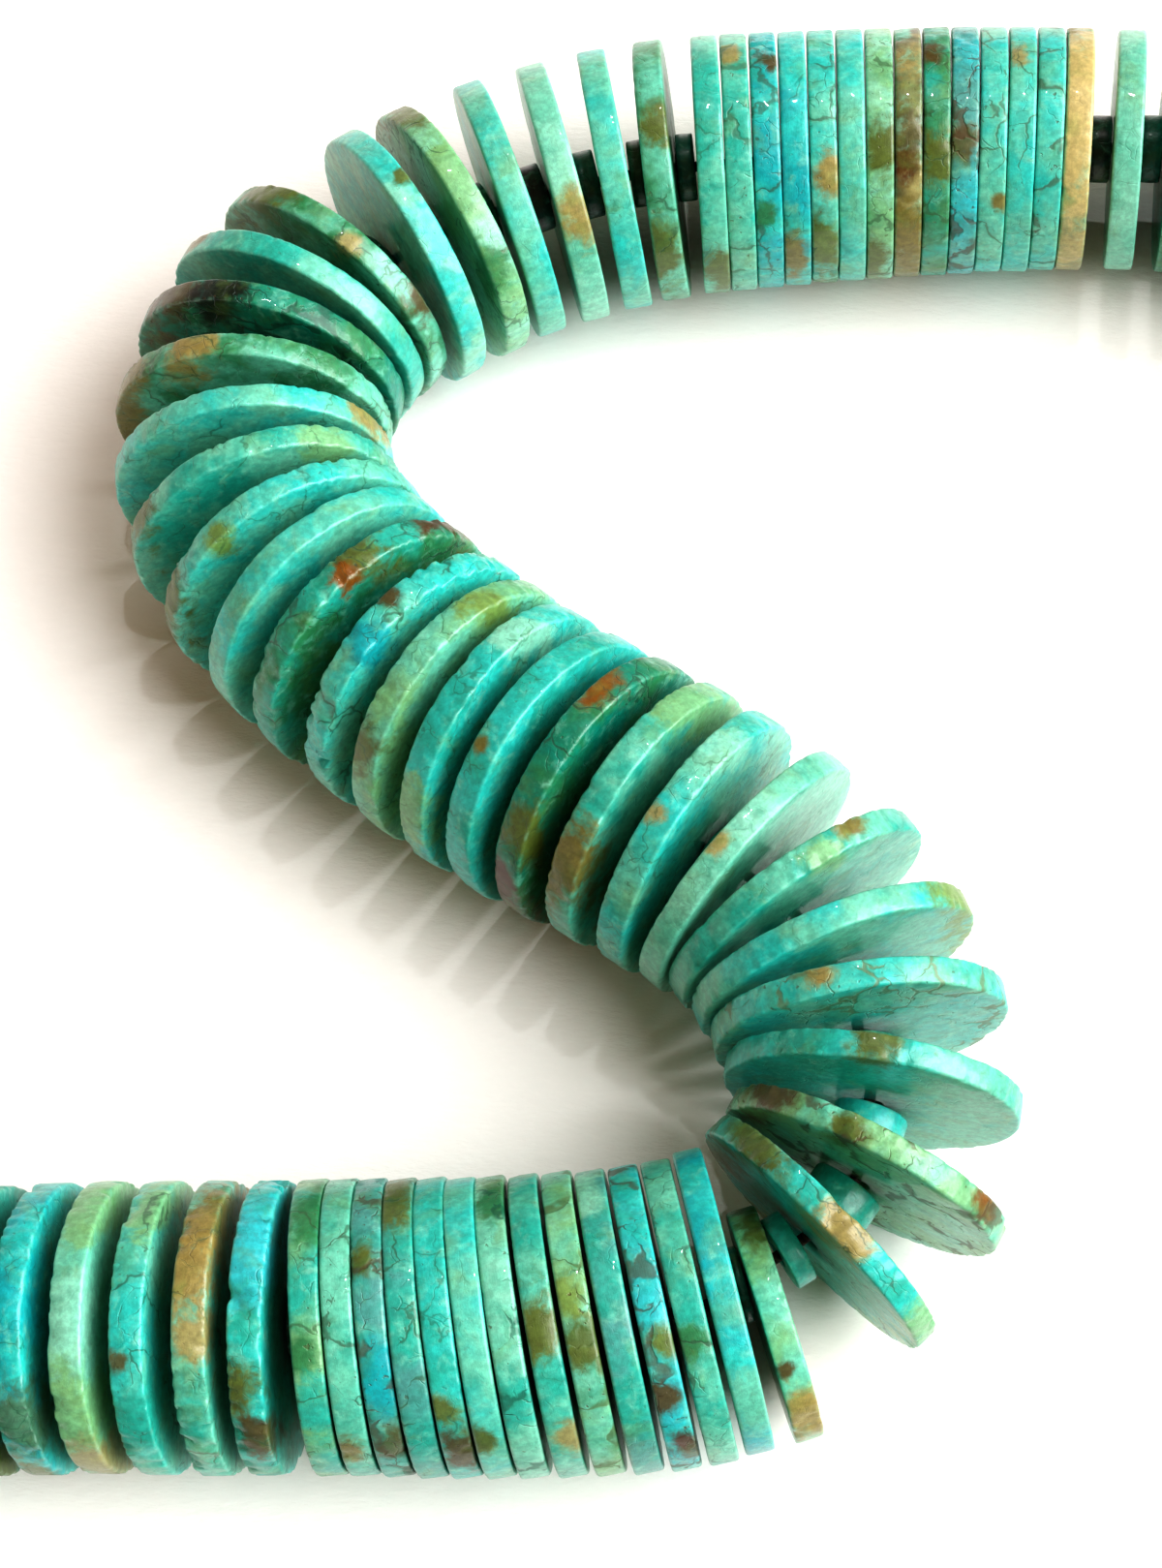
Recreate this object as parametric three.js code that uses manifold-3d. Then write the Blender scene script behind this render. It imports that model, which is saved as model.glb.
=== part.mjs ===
// Beaded necklace: flat stone discs and small round spacers on one thread, lying in a closed loop.
// Millimetres, +Z up, the surface it lies on at z = 0. The first bead is at the left end of the near run.
import * as THREE from "three";
import { mergeVertices } from "three/addons/utils/BufferGeometryUtils.js";
import Module from "manifold-3d";

const manifold = await Module();
manifold.setup();
const { Manifold, Mesh } = manifold;

const DISC_SIDES = 16;
const HUB_SIDES = 8;
const HOLE_SIDES = 6;
const HOLE_RADIUS = 1.35;
const THREAD_RADIUS = 0.45;
const SPACER_RADIUS = 2.6;
const STACK_CORE_RADIUS = 7.5;
const SPACER_CLEARANCE = 0.15; // between a spacer and the disc on each side of it
const NODE_GAP = 0.2; // between the ends of two nodes that meet on the thread
const CLASP_RADIUS = 3.2;
const CLASP_LENGTH = 13;
const CLASP_STUB = 1.6; // thread that shows on each side of the clasp
const HIDDEN_STEP = 4.3;
const HIDDEN_NODES = 5; // on each side of the clasp
const HIDDEN_DIAMETERS = [18.4, 19.1]; // next to the far run, next to the near run
const HIDDEN_RISES = [5, 11];
const HIDDEN_THICKNESS = 2.2;
const SMALL_DISC_SHARE = 0.42; // of the way from the disc before it to the disc after it
const STRAND_BREAKS = [27, 35, 42]; // discs in whose holes two strands meet, counted from 0
const UP = new THREE.Vector3(0, 0, 1);

// The line of the thread as it lies, one closed loop: near run, right bend, diagonal, left bend, far run,
// then the plain way round down the right side, along the front and up the left.
const ROUTE = [
  [-39, -40.3], [-17, -40.1], [-2, -40], [9, -38.6], [15.7, -34], [19.2, -29.7], [20, -24.4],
  [19.3, -19.2], [15.2, -11], [8.1, -5.7], [-5.4, 2.2], [-18.1, 12.6], [-22.9, 19.2], [-24.3, 24.1],
  [-23.8, 31.1], [-19.2, 38.8], [-13.6, 42.4], [-5.5, 46.8], [6.4, 50.3], [23.5, 52.1], [42.7, 52.7],
  [56, 51], [68, 44], [73.5, 32], [74, 5], [74, -25], [74, -58], [68, -74], [54, -83], [37, -85.5],
  [5, -86], [-30, -86], [-49, -84.5], [-62, -76], [-67, -63], [-62, -49], [-51, -41.5],
];

// steps: distance along the route to each disc from the one before it, so one number a disc.
// heading and rise: which way a disc's axis points along the thread, in degrees, from the first to the last.
const SECTIONS = [
  { name: "near_run", steps: [0, 3.9, 3.7, 3.7, 3.8, 3.4], heading: [-2, -1], rise: [12, 6],
    diameter: [19.1, 19.4], thickness: 2.25 },
  { name: "stack_near", joined: true, steps: [3.4, ...Array(6).fill(2.1), ...Array(6).fill(2.36)],
    heading: [4, 13], rise: [4, 5], diameter: [19.5, 20.5], thickness: 2 },
  { name: "small_disc", steps: [3.2], heading: [16, 16], rise: [5, 5], diameter: [16, 16],
    thickness: 2, sideways: -2.8 },
  { name: "right_bend", steps: [4.9, 5.3, 5.7], heading: [44, 80], rise: [5, 0],
    diameter: [20.1, 20.5], thickness: 1.9 },
  { name: "right_turn", steps: [5.1, 4.5, 4.6, 4.5], heading: [97, 137], rise: [-1, -1],
    diameter: [20.5, 20.6], thickness: 2 },
  { name: "diagonal", steps: [4.2, 4, 3.8, 3.7], heading: [143, 141], rise: [-6, -14],
    diameter: [20.6, 20.9], thickness: 2.25 },
  { name: "diagonal_top", steps: [4.1, 3.8, 3.9, 4.6, 4.1], heading: [142, 129], rise: [-13, -11],
    diameter: [20.8, 20.7], thickness: 2.2 },
  { name: "left_bend", steps: [4.1, 4.3, 4.3, 4.5, 4.5, 4.2, 4.2], heading: [119, 53], rise: [-10, -1],
    diameter: [20.8, 20.4], thickness: 1.95 },
  { name: "left_turn", steps: [6.2, 4.2], heading: [33, 31], rise: [0, 1],
    diameter: [20.5, 20.4], thickness: 2.1 },
  { name: "far_start", steps: [4.9, 4.4, 4.2, 3.8], heading: [19, 4], rise: [6, 7],
    diameter: [20.1, 19.9], thickness: 2.2 },
  { name: "stack_far", joined: true, steps: [3.8, ...Array(13).fill(2.2)],
    heading: [2, -5], rise: [4, 5], diameter: [19.7, 18.5], thickness: 2.04 },
  { name: "far_run", steps: [4, 4], heading: [-6, -6], rise: [6, 5],
    diameter: [18.4, 18.4], thickness: 2.15 },
];

const route = new THREE.CatmullRomCurve3(
  ROUTE.map(([x, y]) => new THREE.Vector3(x, y, 0)), true, "centripetal",
);
route.arcLengthDivisions = 2000;
const LOOP = route.getLength();

const between = ([first, last], share) => first + (last - first) * share;

// A disc standing on the surface: its axes, its centre, and the point where the thread goes through it.
function placeBead({ along, heading, rise, diameter, thickness, sideways = 0 }) {
  const u = THREE.MathUtils.euclideanModulo(along, LOOP) / LOOP;
  const onRoute = route.getPointAt(u);
  const tangent = route.getTangentAt(u);
  const turn = heading === undefined ? Math.atan2(tangent.y, tangent.x) : THREE.MathUtils.degToRad(heading);
  const lift = THREE.MathUtils.degToRad(rise);
  const axis = new THREE.Vector3(
    Math.cos(turn) * Math.cos(lift), Math.sin(turn) * Math.cos(lift), Math.sin(lift),
  );
  const side = new THREE.Vector3().crossVectors(UP, axis).normalize();
  const top = new THREE.Vector3().crossVectors(axis, side);
  const centre = onRoute.clone().addScaledVector(side, sideways);
  centre.z = (diameter / 2) * Math.cos(lift) + (thickness / 2) * Math.abs(Math.sin(lift));
  return { axis, side, top, centre, hole: centre.clone(), diameter, thickness, sideways };
}

function visibleSections() {
  let along = 0;
  return SECTIONS.map((section) => {
    const last = Math.max(section.steps.length - 1, 1);
    const beads = section.steps.map((step, i) => {
      along += step;
      return placeBead({
        along,
        heading: between(section.heading, i / last),
        rise: between(section.rise, i / last),
        diameter: between(section.diameter, i / last),
        thickness: section.thickness,
        sideways: section.sideways,
      });
    });
    return { name: section.name, joined: section.joined, beads, end: along };
  });
}

// The discs on the side that is away from the near run, in equal joined nodes before and after the clasp.
function hiddenSections(from, to) {
  const middle = (from + to) / 2;
  const claspReach = CLASP_LENGTH / 2 + CLASP_STUB + HIDDEN_THICKNESS / 2;
  const discsPerNode = Math.floor((middle - claspReach - from) / HIDDEN_STEP / HIDDEN_NODES);
  const count = discsPerNode * HIDDEN_NODES;
  const step = (middle - claspReach - from) / count;
  const starts = [from + step, middle + claspReach];
  const halves = starts.map((start) =>
    Array.from({ length: count }, (_, i) => {
      const along = start + i * step;
      return placeBead({
        along,
        rise: between(HIDDEN_RISES, (along - from) / (to - from)),
        diameter: between(HIDDEN_DIAMETERS, (along - from) / (to - from)),
        thickness: HIDDEN_THICKNESS,
      });
    }),
  );
  const nodes = halves.map((beads) =>
    Array.from({ length: HIDDEN_NODES }, (_, i) => beads.slice(i * discsPerNode, (i + 1) * discsPerNode)),
  );
  return { nodes, middle };
}

// The small disc hangs off the thread: its hole is where the thread passes on its way between the neighbours.
function setOffCentreHole(before, bead, after) {
  const passing = before.centre.clone().lerp(after.centre, SMALL_DISC_SHARE);
  const fromCentre = passing.sub(bead.centre);
  bead.hole = bead.centre.clone()
    .addScaledVector(bead.side, fromCentre.dot(bead.side))
    .addScaledVector(bead.top, fromCentre.dot(bead.top));
}

const polygon = (sides, inradius, phase) =>
  Array.from({ length: sides }, (_, i) => {
    const angle = phase + ((i + 0.5) * 2 * Math.PI) / sides;
    const radius = inradius / Math.cos(Math.PI / sides);
    return new THREE.Vector2(radius * Math.cos(angle), radius * Math.sin(angle));
  });

// One loose disc with its thread hole.
function discGeometry(bead) {
  const outline = new THREE.Shape(polygon(DISC_SIDES, bead.diameter / 2, 0));
  const offset = bead.hole.clone().sub(bead.centre);
  const holeAt = new THREE.Vector2(offset.dot(bead.side), offset.dot(bead.top));
  outline.holes.push(new THREE.Path(polygon(HOLE_SIDES, HOLE_RADIUS, 0).map((p) => p.add(holeAt))));
  return new THREE.ExtrudeGeometry(outline, { depth: bead.thickness, bevelEnabled: false })
    .translate(0, 0, -bead.thickness / 2)
    .applyMatrix4(new THREE.Matrix4().makeBasis(bead.side, bead.top, bead.axis).setPosition(bead.centre));
}

// A closed geometry as a solid that can be joined to others.
function solidOf(geometry) {
  geometry.deleteAttribute("normal");
  geometry.deleteAttribute("uv");
  const merged = mergeVertices(geometry);
  return new Manifold(new Mesh({
    numProp: 3,
    vertProperties: new Float32Array(merged.getAttribute("position").array),
    triVerts: new Uint32Array(merged.getIndex().array),
  }));
}

// A plain prism from one point to another. It is made upright and turned as a solid, in 64-bit numbers, so
// that its faces stay flat and a joined shape has no slivers.
function prism(sides, inradius, from, to, top) {
  const axis = to.clone().sub(from);
  const depth = axis.length();
  axis.normalize();
  const side = new THREE.Vector3().crossVectors(top, axis).normalize();
  const frame = new THREE.Matrix4()
    .makeBasis(side, new THREE.Vector3().crossVectors(axis, side), axis)
    .setPosition(from);
  const section = new THREE.Shape(polygon(sides, inradius, 0));
  const upright = new THREE.ExtrudeGeometry(section, { depth, bevelEnabled: false });
  return solidOf(upright).transform(frame.elements);
}

function discSolid(bead) {
  const half = bead.axis.clone().multiplyScalar(bead.thickness / 2);
  const back = bead.centre.clone().sub(half);
  const front = bead.centre.clone().add(half);
  return prism(DISC_SIDES, bead.diameter / 2, back, front, bead.top);
}

function geometryOf(solid) {
  const mesh = solid.getMesh();
  const positions = new Float32Array(mesh.numVert * 3);
  for (let i = 0; i < mesh.numVert; i += 1) {
    positions.set(mesh.vertProperties.subarray(i * mesh.numProp, i * mesh.numProp + 3), i * 3);
  }
  return new THREE.BufferGeometry()
    .setAttribute("position", new THREE.BufferAttribute(positions, 3))
    .setIndex(new THREE.BufferAttribute(mesh.triVerts, 1));
}

// Discs joined along the thread by a core between each two of them. next: the bead after the last disc.
function joinedGeometry(beads, coreRadius, next) {
  const parts = beads.map(discSolid);
  beads.slice(1).forEach((bead, i) => {
    parts.push(prism(HUB_SIDES, coreRadius, beads[i].centre, bead.centre, bead.top));
  });
  if (next) {
    const last = beads.at(-1);
    const gap = next.centre.clone().sub(last.centre);
    const slant = SPACER_RADIUS * Math.sin(gap.angleTo(next.axis));
    const reach = 1 - (next.thickness / 2 + NODE_GAP + slant) / gap.length();
    const end = last.centre.clone().addScaledVector(gap, reach);
    parts.push(prism(HUB_SIDES, coreRadius, last.centre, end, last.top));
  }
  return geometryOf(Manifold.union(parts));
}

// Where a spacer sits between two discs: square to the mean of their axes, in the room they leave.
function spacerBetween(a, b) {
  const axis = a.axis.clone().add(b.axis).normalize();
  const corner = SPACER_RADIUS / Math.cos(Math.PI / HUB_SIDES);
  const fan = 2 * corner * Math.tan(a.axis.angleTo(b.axis) / 2);
  const room = b.hole.clone().sub(a.hole).dot(axis) - (a.thickness + b.thickness) / 2;
  const length = room - fan - 2 * SPACER_CLEARANCE;
  const middle = a.hole.clone().lerp(b.hole, 0.5);
  return { axis, length, middle };
}

// Thread with its spacers as one solid: a run of rings, thin through each disc and wide at each spacer.
function strandGeometry(stations) {
  const points = [];
  stations.forEach(({ at, axis, radius }) => {
    const side = new THREE.Vector3().crossVectors(UP, axis).normalize();
    const top = new THREE.Vector3().crossVectors(axis, side);
    polygon(HUB_SIDES, radius, 0).forEach((corner) => {
      points.push(at.clone().addScaledVector(side, corner.x).addScaledVector(top, corner.y));
    });
  });
  const faces = [];
  const lastRing = (stations.length - 1) * HUB_SIDES;
  for (let i = 1; i < HUB_SIDES - 1; i += 1) {
    faces.push(0, i + 1, i, lastRing, lastRing + i, lastRing + i + 1);
  }
  for (let ring = 0; ring < lastRing; ring += HUB_SIDES) {
    for (let i = 0; i < HUB_SIDES; i += 1) {
      const a = ring + i;
      const b = ring + ((i + 1) % HUB_SIDES);
      faces.push(a, b, b + HUB_SIDES, a, b + HUB_SIDES, a + HUB_SIDES);
    }
  }
  return new THREE.BufferGeometry().setFromPoints(points).setIndex(faces);
}

function spacerStations(a, b) {
  const { axis, length, middle } = spacerBetween(a, b);
  const ends = [-length / 2, length / 2].map((shift) => middle.clone().addScaledVector(axis, shift));
  return [
    { at: ends[0], axis, radius: THREAD_RADIUS },
    { at: ends[0], axis, radius: SPACER_RADIUS },
    { at: ends[1], axis, radius: SPACER_RADIUS },
    { at: ends[1], axis, radius: THREAD_RADIUS },
  ];
}

// The end of a strand: in the hole of a loose disc, or just short of a joined one.
function strandEnd(bead, towards, insideHole) {
  const way = towards.hole.clone().sub(bead.hole).normalize();
  const shift = insideHole ? NODE_GAP / 2 : bead.thickness / 2 + NODE_GAP;
  return { at: bead.hole.clone().addScaledVector(way, shift), radius: THREAD_RADIUS };
}

function strandThrough(beads, startsInHole, endsInHole) {
  const first = { ...strandEnd(beads[0], beads[1], startsInHole), axis: beads[0].axis };
  const last = { ...strandEnd(beads.at(-1), beads.at(-2), endsInHole), axis: beads.at(-1).axis };
  const spacers = beads.slice(1).flatMap((bead, i) => spacerStations(beads[i], bead));
  return strandGeometry([first, ...spacers, last]);
}

function claspGeometry(middle, before, after) {
  const u = THREE.MathUtils.euclideanModulo(middle, LOOP) / LOOP;
  const tangent = route.getTangentAt(u);
  const centre = route.getPointAt(u);
  centre.z = before.centre.z;
  const ends = [-1, 1].map((sign) => centre.clone().addScaledVector(tangent, (sign * CLASP_LENGTH) / 2));
  const stubs = [before, after].map((bead) => {
    const way = centre.clone().sub(bead.centre).normalize();
    const start = bead.centre.clone().addScaledVector(way, bead.thickness / 2 + NODE_GAP);
    return prism(HUB_SIDES, THREAD_RADIUS, start, centre, UP);
  });
  return geometryOf(Manifold.union([prism(DISC_SIDES, CLASP_RADIUS, ends[0], ends[1], UP), ...stubs]));
}

const COLOURS = { disc: 0x4fb8a8, spacer: 0x1d6f68, stack: 0x58bdac, clasp: 0xb9bcc0, hidden: 0x4aa99b };
const loop = new THREE.Group();
loop.name = "beaded_necklace";

function add(name, geometry, colour) {
  const material = new THREE.MeshStandardMaterial({ color: COLOURS[colour], roughness: 0.4 });
  const mesh = new THREE.Mesh(geometry, material);
  mesh.name = name;
  loop.add(mesh);
}

const sections = visibleSections();
const seen = sections.flatMap(({ beads, joined }) => beads.map((bead) => ({ ...bead, joined })));
const small = seen.findIndex((bead) => bead.sideways !== 0);
setOffCentreHole(seen[small - 1], seen[small], seen[small + 1]);

let discNumber = 0;
seen.filter((bead) => !bead.joined).forEach((bead) => {
  discNumber += 1;
  add(`disc_${String(discNumber).padStart(2, "0")}`, discGeometry(bead), "disc");
});
sections.filter((section) => section.joined).forEach((section) => {
  add(section.name, joinedGeometry(section.beads, STACK_CORE_RADIUS), "stack");
});

const { nodes: hidden, middle } = hiddenSections(sections.at(-1).end, LOOP);
const hiddenNodes = hidden.flat();
hiddenNodes.forEach((beads, i) => {
  const isBeforeClasp = i === HIDDEN_NODES - 1;
  const following = i === hiddenNodes.length - 1 ? seen[0] : hiddenNodes[i + 1][0];
  add(`hidden_${String(i + 1).padStart(2, "0")}`,
    joinedGeometry(beads, SPACER_RADIUS, isBeforeClasp ? undefined : following), "hidden");
});
const besideClasp = [hiddenNodes[HIDDEN_NODES - 1].at(-1), hiddenNodes[HIDDEN_NODES][0]];
add("clasp", claspGeometry(middle, ...besideClasp), "clasp");

// Thread and spacers, in pieces that start and end at the stacks or in the hole of a loose disc.
const threaded = [...seen, { ...hiddenNodes[0][0], joined: true }];
const lastThreaded = threaded.length - 1;
const stackEnds = seen.map((bead, i) => i).filter(
  (i) => seen[i].joined && (!seen[i - 1].joined || !seen[i + 1].joined),
);
const cuts = [0, ...STRAND_BREAKS, ...stackEnds, lastThreaded].sort((a, b) => a - b);
let strandNumber = 0;
cuts.slice(1).forEach((end, i) => {
  const start = cuts[i];
  if (threaded[start].joined && threaded[start + 1].joined) return;
  strandNumber += 1;
  const run = threaded.slice(start, end + 1);
  add(`strand_${strandNumber}`, strandThrough(run, !run[0].joined, !run.at(-1).joined), "spacer");
});

// Origin under the middle of the loop's own box.
const box = new THREE.Box3().setFromObject(loop);
const centre = box.getCenter(new THREE.Vector3());
loop.children.forEach((mesh) => mesh.geometry.translate(-centre.x, -centre.y, 0));

export default loop;
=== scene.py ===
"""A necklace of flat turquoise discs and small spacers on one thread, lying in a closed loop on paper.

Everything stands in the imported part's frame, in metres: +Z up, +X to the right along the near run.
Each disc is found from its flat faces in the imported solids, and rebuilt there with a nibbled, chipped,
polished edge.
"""

import math

import bpy
import numpy as np
from bpy.props import FloatProperty, FloatVectorProperty, IntProperty, PointerProperty
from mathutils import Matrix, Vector


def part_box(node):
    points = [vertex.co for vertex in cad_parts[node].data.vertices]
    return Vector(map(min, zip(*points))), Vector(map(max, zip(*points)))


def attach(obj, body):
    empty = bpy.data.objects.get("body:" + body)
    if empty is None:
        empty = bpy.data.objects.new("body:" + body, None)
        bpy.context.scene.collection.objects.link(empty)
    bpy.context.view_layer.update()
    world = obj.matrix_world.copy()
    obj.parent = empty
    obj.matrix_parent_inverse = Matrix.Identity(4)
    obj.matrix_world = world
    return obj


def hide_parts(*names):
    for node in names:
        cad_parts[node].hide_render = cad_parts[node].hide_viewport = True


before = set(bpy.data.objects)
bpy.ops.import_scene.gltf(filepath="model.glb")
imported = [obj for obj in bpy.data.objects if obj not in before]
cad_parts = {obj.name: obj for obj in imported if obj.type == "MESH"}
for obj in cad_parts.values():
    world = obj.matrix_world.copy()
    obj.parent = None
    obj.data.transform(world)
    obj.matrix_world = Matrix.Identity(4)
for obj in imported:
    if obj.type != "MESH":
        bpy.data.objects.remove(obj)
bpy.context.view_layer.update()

bl_info = {
    "name": "Turquoise disc necklace",
    "version": (1, 0, 0),
    "blender": (4, 5, 0),
    "location": "3D View > Sidebar > Necklace",
    "description": "Rebuilds the beads, spacers, thread and clasp of a turquoise necklace",
    "category": "Add Mesh",
}

MM = 0.001
BODY = "root"

SPACER_RADIUS = 2.6 * MM
SPACER_CLEARANCE = 0.05 * MM  # between a spacer and the disc on each side of it
THREAD_RADIUS = 0.4 * MM
NIBBLES = 44  # bites round a rim that is nibbled all the way
MOST_PATCHES = 3
NO_PATCH = ("mint", -9.0, 0.1)  # so far off the rim that it never shows
BLANK_FACE_RINGS = (0.45, 0.75, 0.88)  # rings of points on a disc's face, against its radius

# A barrel with a collar at each end and a seam in the middle: distance from the axis, height, in mm.
CLASP_PROFILE = [
    (0.5, -6.5), (2.2, -6.5), (2.9, -6.1), (3.1, -5.6), (2.6, -5.2), (2.6, -4.8), (3.2, -4.3),
    (3.2, -0.5), (2.8, -0.25), (2.8, 0.25), (3.2, 0.5), (3.2, 4.3), (2.6, 4.8), (2.6, 5.2),
    (3.1, 5.6), (2.9, 6.1), (2.2, 6.5), (0.5, 6.5),
]
CLASP_SIDES = 64

# How the discs are told from the other flats of a solid.
FACE_AREA = 40e-6  # a flat of a disc is larger than this, and every other flat is smaller
SLIVER_AREA = 0.3e-6  # smaller triangles are left out
PARALLEL = 0.99998  # least cosine between the normals of two parallel flats
SAME_PLANE = 0.03 * MM
THINNEST, THICKEST = 1.5 * MM, 2.6 * MM
INSIDE_RIM = 0.8  # a disc's thread hole is nearer its centre than this, against its radius

# From the front edge, and this far above the surface, the necklace shows the part of each rim that is
# turned up and towards that edge. The camera stands there too.
FRONT_RISE = math.radians(68)
SENSOR_HEIGHT = 36.0
WINDOW_DIRECTION = (0.7, -0.06, 0.68)
LAMP_DIRECTION = (0.0, 0.42, 0.9)
LAMP_DISTANCE = 0.6
LAMP_SIZE = 0.011
HORIZON_COLOUR = (2.0, 1.85, 1.65, 1.0)
SKY_COLOUR = (1.0, 0.6, 0.34, 1.0)

# The order of the nodes along the thread, from the left end of the near run.
LOOSE_NEAR = [f"disc_{n:02d}" for n in range(1, 7)]
LOOSE_MIDDLE = [f"disc_{n:02d}" for n in range(7, 37)]
LOOSE_FAR = [f"disc_{n:02d}" for n in range(37, 39)]
HIDDEN = [f"hidden_{n:02d}" for n in range(1, 11)]
STRING = LOOSE_NEAR + ["stack_near"] + LOOSE_MIDDLE + ["stack_far"] + LOOSE_FAR + HIDDEN
STRANDS = [f"strand_{n}" for n in range(1, 7)]
STACKS = ("stack_near", "stack_far")

# Stone colours, as they look in daylight.
STONE = {
    "mint": (0.42, 0.75, 0.66),
    "pale_mint": (0.54, 0.81, 0.72),
    "cyan": (0.19, 0.74, 0.71),
    "aqua": (0.17, 0.66, 0.60),
    "sky": (0.22, 0.73, 0.76),
    "blue": (0.05, 0.64, 0.67),
    "teal": (0.05, 0.52, 0.45),
    "deep_teal": (0.02, 0.31, 0.26),
    "green": (0.20, 0.49, 0.32),
    "pale_green": (0.48, 0.70, 0.51),
    "yellow_green": (0.46, 0.58, 0.31),
    "olive": (0.36, 0.41, 0.17),
    "ochre": (0.48, 0.44, 0.21),
    "gold": (0.60, 0.54, 0.32),
    "tan": (0.60, 0.57, 0.38),
    "sand": (0.78, 0.72, 0.50),
    "brown": (0.33, 0.27, 0.13),
    "red_brown": (0.34, 0.16, 0.05),
    "rust": (0.50, 0.31, 0.08),
    "grey_blue": (0.32, 0.60, 0.58),
    "grey_green": (0.30, 0.46, 0.36),
    "grey_brown": (0.37, 0.37, 0.24),
    "black": (0.03, 0.05, 0.03),
}

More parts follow.
